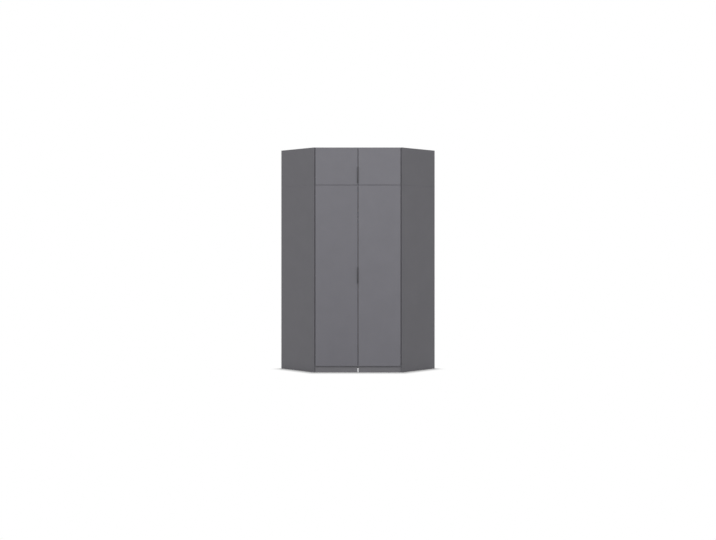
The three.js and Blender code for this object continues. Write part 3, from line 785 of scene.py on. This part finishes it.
def joint_profile():
    """Moulded profile between the plinth's halves: a core in the joint and a thin lip in front.

    The lip covers the joint. Both are rounded blocks, and end a little below the plinth's top.
    """
    below_top = 10 * MM
    lip_width, lip_thick = 14.6 * MM, 1.2 * MM
    low, high = (np.array(corner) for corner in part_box("plinth_joint_strip"))
    high[2] -= below_top
    middle, size = (low + high) / 2, high - low
    core = stand(rounded_block(*size, corner=1.6 * MM, edge=0.8 * MM), middle, UP, INTO_CABINET)
    plinth_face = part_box("plinth_left")[0][1]
    before = (0.0, plinth_face - SEAT - lip_thick / 2, middle[2])
    lip_block = rounded_block(lip_width, lip_thick, size[2], corner=0.5 * MM, edge=0.4 * MM)
    lip = stand(lip_block, before, UP, INTO_CABINET)
    piece("joint_profile", gather([core, lip]), LIGHT_PLASTIC, "carcase",
          "plinth_joint_strip")


joint_profile()


def centre_foot():
    """Moulded foot under the middle of the floor: a pad, a stem and a fluted adjusting collar.

    The collar's radius swings by flute_depth * (1 + cos(flutes * angle)) / 2 of itself.
    """
    pad_slope, top_plate, collar_tall = 4 * MM, 4 * MM, 12 * MM
    collar_radius = FOOT_RADIUS * 0.8
    pad_ease, ease = 2 * MM, 1 * MM
    flutes, flute_depth = 16, 0.04
    clear = 0.5 * MM  # takes in the collar's lower edge
    low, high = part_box("centre_foot")
    tall = high[2] - low[2]
    corners = [(FOOT_RADIUS, 0), (FOOT_RADIUS, FOOT_PAD), (FOOT_STEM_RADIUS, FOOT_PAD + pad_slope),
               (FOOT_STEM_RADIUS, tall - collar_tall), (collar_radius, tall - collar_tall),
               (collar_radius, tall - top_plate), (FOOT_RADIUS, tall - top_plate), (FOOT_RADIUS, tall)]
    profile, _ = eased(corners, [0, pad_ease, pad_ease, ease, ease, ease, ease, 0])
    points, faces = turned(profile, columns=6 * flutes)
    angle = np.arctan2(points[:, 1], points[:, 0])
    collar = (points[:, 2] > tall - collar_tall - clear) & (points[:, 2] < tall - top_plate)
    swing = np.where(collar, 1 - flute_depth * (1 + np.cos(flutes * angle)) / 2, 1.0)
    points[:, :2] *= swing[:, None]
    place = ((low[0] + high[0]) / 2, (low[1] + high[1]) / 2, low[2])
    piece("moulded_foot", stand((points, faces), place, UP), BLACK_PLASTIC, "carcase",
          "centre_foot")


centre_foot()

# Camera, from the slope of the side walls' edges in the photo
PHOTO_WIDTH = 716  # pixels, as the next two
PHOTO_FOCAL = 1066
HORIZON_ABOVE_CENTRE = 22.2
CAMERA_DISTANCE = 11.172
CAMERA_HEIGHT = 1.307
SENSOR = 36.0  # millimetres

lens = bpy.data.cameras.new("camera")
lens.sensor_width = SENSOR
lens.lens = SENSOR * PHOTO_FOCAL / PHOTO_WIDTH
lens.shift_y = -HORIZON_ABOVE_CENTRE / PHOTO_WIDTH
camera = bpy.data.objects.new("camera", lens)
camera.location = (0.0, door_face_y - CAMERA_DISTANCE, CAMERA_HEIGHT)
camera.rotation_euler = (QUARTER_TURN, 0.0, 0.0)
bpy.context.scene.collection.objects.link(camera)
bpy.context.scene.camera = camera

# Stage: a white floor that keeps a narrow contact shadow, and a white surround
WHITE = (1.0, 1.0, 1.0, 1.0)
FLOOR_HALF = 30.0
FLOOR_SHADED = "f4f4f4"  # as the camera sees it in the shadow
FLOOR_BOUNCE = "a4a4a4"  # as it throws light back on the wardrobe
SHADOW_REACH = 0.19  # in front
SIDE_FALLOFF = 1.25  # times as fast beside the wardrobe
BACK_FALLOFF = 3.5  # and behind it
SURROUND_LIGHT = 0.295  # strength of the light from all round


def studio_floor():
    """A white floor: seen directly it is plain white but for the shadow close to the wardrobe.

    It goes from a lit surface to a white glow with the distance outside the footprint, which is
    the largest of the distances from its front, its two slanting sides and its two walls. The
    ones beside and behind count more, by their falloff. To the light that it throws back on the
    wardrobe it is a soft grey surface all over.
    """
    side_line = (arris_x - carcase_front_y) / DIAGONAL + BOARD
    wall_line = corner_y / DIAGONAL
    made, tree = material("white_studio_floor")
    path = add(tree, "LightPath", {}, {})
    colour = add(tree, "Mix", {"data_type": "RGBA"},
                 {MIX_FACTOR: path.outputs["Is Camera Ray"],
                  COLOUR_A: linear(FLOOR_BOUNCE), COLOUR_B: linear(FLOOR_SHADED)})
    lit = add(tree, "BsdfDiffuse", {}, {"Color": colour.outputs[COLOUR_OUT]})
    glow = add(tree, "Emission", {}, {"Color": WHITE, "Strength": 1.0})
    place = add(tree, "TexCoord", {}, {})
    parts = add(tree, "SeparateXYZ", {}, {"Vector": place.outputs["Object"]})
    across = add(tree, "Math", {"operation": "ABSOLUTE"}, {0: parts.outputs["X"]})
    in_front = add(tree, "Math", {"operation": "SUBTRACT"}, {0: carcase_front_y, 1: parts.outputs["Y"]})
    forward = add(tree, "Math", {"operation": "SUBTRACT"}, {0: across.outputs[0], 1: parts.outputs["Y"]})
    backward = add(tree, "Math", {"operation": "ADD"}, {0: across.outputs[0], 1: parts.outputs["Y"]})
    beside = add(tree, "Math", {"operation": "MULTIPLY_ADD"},
                 {0: forward.outputs[0], 1: SIDE_FALLOFF / DIAGONAL, 2: -SIDE_FALLOFF * side_line})
    behind = add(tree, "Math", {"operation": "MULTIPLY_ADD"},
                 {0: backward.outputs[0], 1: BACK_FALLOFF / DIAGONAL, 2: -BACK_FALLOFF * wall_line})
    away = add(tree, "Math", {"operation": "MAXIMUM"}, {0: in_front.outputs[0], 1: beside.outputs[0]})
    away = add(tree, "Math", {"operation": "MAXIMUM"}, {0: away.outputs[0], 1: behind.outputs[0]})
    clear = add(tree, "MapRange", {"interpolation_type": "SMOOTHSTEP"},
                {"Value": away.outputs[0], "From Min": 0.0, "From Max": SHADOW_REACH,
                 "To Min": 0.0, "To Max": 1.0})
    direct = add(tree, "Math", {"operation": "MAXIMUM"},
                 {0: path.outputs["Is Camera Ray"], 1: path.outputs["Is Glossy Ray"]})
    white = add(tree, "Math", {"operation": "MULTIPLY"}, {0: clear.outputs[0], 1: direct.outputs[0]})
    both = add(tree, "MixShader", {}, {0: white.outputs[0], 1: lit.outputs[0], 2: glow.outputs[0]})
    add(tree, "OutputMaterial", {}, {"Surface": both.outputs[0]})
    mesh = bpy.data.meshes.new("floor")
    corners = [(-FLOOR_HALF, -FLOOR_HALF, 0), (FLOOR_HALF, -FLOOR_HALF, 0),
               (FLOOR_HALF, FLOOR_HALF, 0), (-FLOOR_HALF, FLOOR_HALF, 0)]
    mesh.from_pydata(corners, [], [(0, 1, 2, 3)])
    mesh.materials.append(made)
    floor = bpy.data.objects.new("floor", mesh)
    bpy.context.scene.collection.objects.link(floor)


studio_floor()


def studio_world():
    """Soft grey light from all round. Seen directly, in a reflection or through a piece, it is white."""
    world = bpy.data.worlds.new("white_surround")
    world.use_nodes = True
    tree = world.node_tree
    tree.nodes.clear()
    path = add(tree, "LightPath", {}, {})
    seen = add(tree, "Math", {"operation": "MAXIMUM"},
               {0: path.outputs["Is Camera Ray"], 1: path.outputs["Is Glossy Ray"]})
    seen = add(tree, "Math", {"operation": "MAXIMUM"},
               {0: seen.outputs[0], 1: path.outputs["Is Transmission Ray"]})
    strength = add(tree, "MapRange", {},
                   {"Value": seen.outputs[0], "To Min": SURROUND_LIGHT, "To Max": 1.0})
    glow = add(tree, "Background", {}, {"Color": WHITE, "Strength": strength.outputs["Result"]})
    add(tree, "OutputWorld", {}, {"Surface": glow.outputs[0]})
    bpy.context.scene.world = world


studio_world()


def softbox(name, place, aim, size, watts):
    """A square area lamp at a place, turned towards a point, that the camera doesn't see."""
    lamp = bpy.data.lights.new(name, "AREA")
    lamp.shape = "SQUARE"
    lamp.size = size
    lamp.energy = watts
    made = bpy.data.objects.new(name, lamp)
    made.location = place
    made.rotation_euler = (Vector(aim) - Vector(place)).to_track_quat("-Z", "Y").to_euler()
    made.visible_camera = False
    bpy.context.scene.collection.objects.link(made)


softbox("front_softbox", place=(-0.6, -12.0, 7.0), aim=(0.0, -0.4, 1.3), size=12.0, watts=950)
softbox("back_softbox", place=(0.0, 8.5, 5.0), aim=(0.0, 0.3, 1.2), size=3.0, watts=420)

bpy.context.scene.view_settings.view_transform = "Standard"
